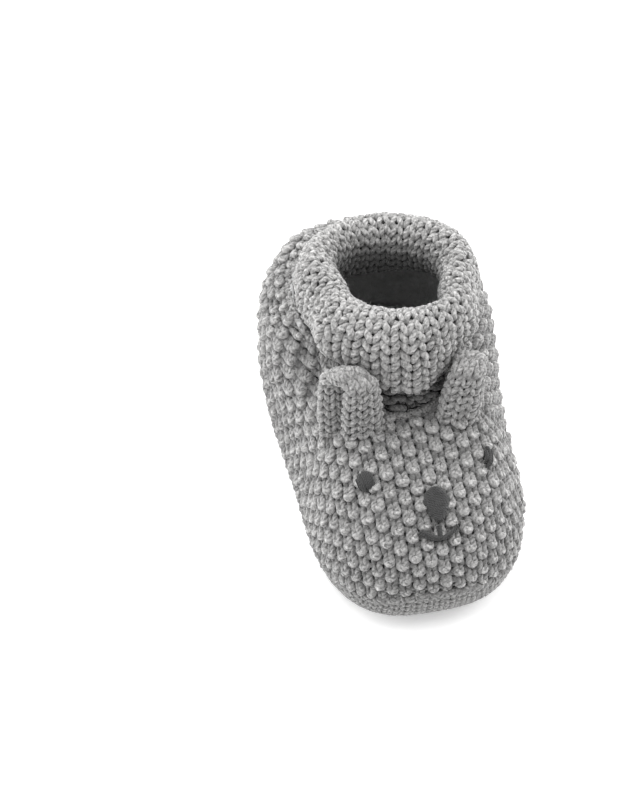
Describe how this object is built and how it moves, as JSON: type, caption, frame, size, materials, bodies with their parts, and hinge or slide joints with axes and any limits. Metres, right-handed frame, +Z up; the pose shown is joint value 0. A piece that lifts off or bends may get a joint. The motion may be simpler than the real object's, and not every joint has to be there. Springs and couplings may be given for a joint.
{
  "type": "knitted baby bootie",
  "caption": "Soft knitted baby bootie with a seed-stitch upper, turned-down cuff, folded ears, a stitched face and rubber grip dots under a knitted sole.",
  "frame": {"origin": "middle of the footprint on the floor that the grip dots stand on", "axes": "+Z up, the toe points along -Y and the heel along +Y, +X to the wearer's left"},
  "size_m": [0.0668, 0.111, 0.0725],
  "materials": {
    "upper_knit": "grey melange yarn in seed stitch, matt",
    "cuff_knit": "grey melange yarn in stockinette, matt",
    "ear_knit": "grey melange yarn in stockinette, matt",
    "sole_knit": "darker grey yarn in fine stockinette, matt",
    "embroidery": "dark grey satin-stitch thread, slight sheen",
    "grip_rubber": "off-white printed rubber, satin"
  },
  "bodies": {
    "root": {"sole": "sole_knit", "upper": "upper_knit", "cuff": "cuff_knit", "ear_left": "ear_knit", "ear_right": "ear_knit", "eye_left": "embroidery", "eye_right": "embroidery", "nose": "embroidery", "mouth": "embroidery", "grip_dot_01": "grip_rubber", "grip_dot_02": "grip_rubber", "grip_dot_03": "grip_rubber", "grip_dot_04": "grip_rubber", "grip_dot_05": "grip_rubber", "grip_dot_06": "grip_rubber", "grip_dot_07": "grip_rubber", "grip_dot_08": "grip_rubber", "grip_dot_09": "grip_rubber", "grip_dot_10": "grip_rubber", "grip_dot_11": "grip_rubber", "grip_dot_12": "grip_rubber", "grip_dot_13": "grip_rubber", "grip_dot_14": "grip_rubber", "grip_dot_15": "grip_rubber", "grip_dot_16": "grip_rubber", "grip_dot_17": "grip_rubber", "grip_dot_18": "grip_rubber"}
  },
  "joints": []
}
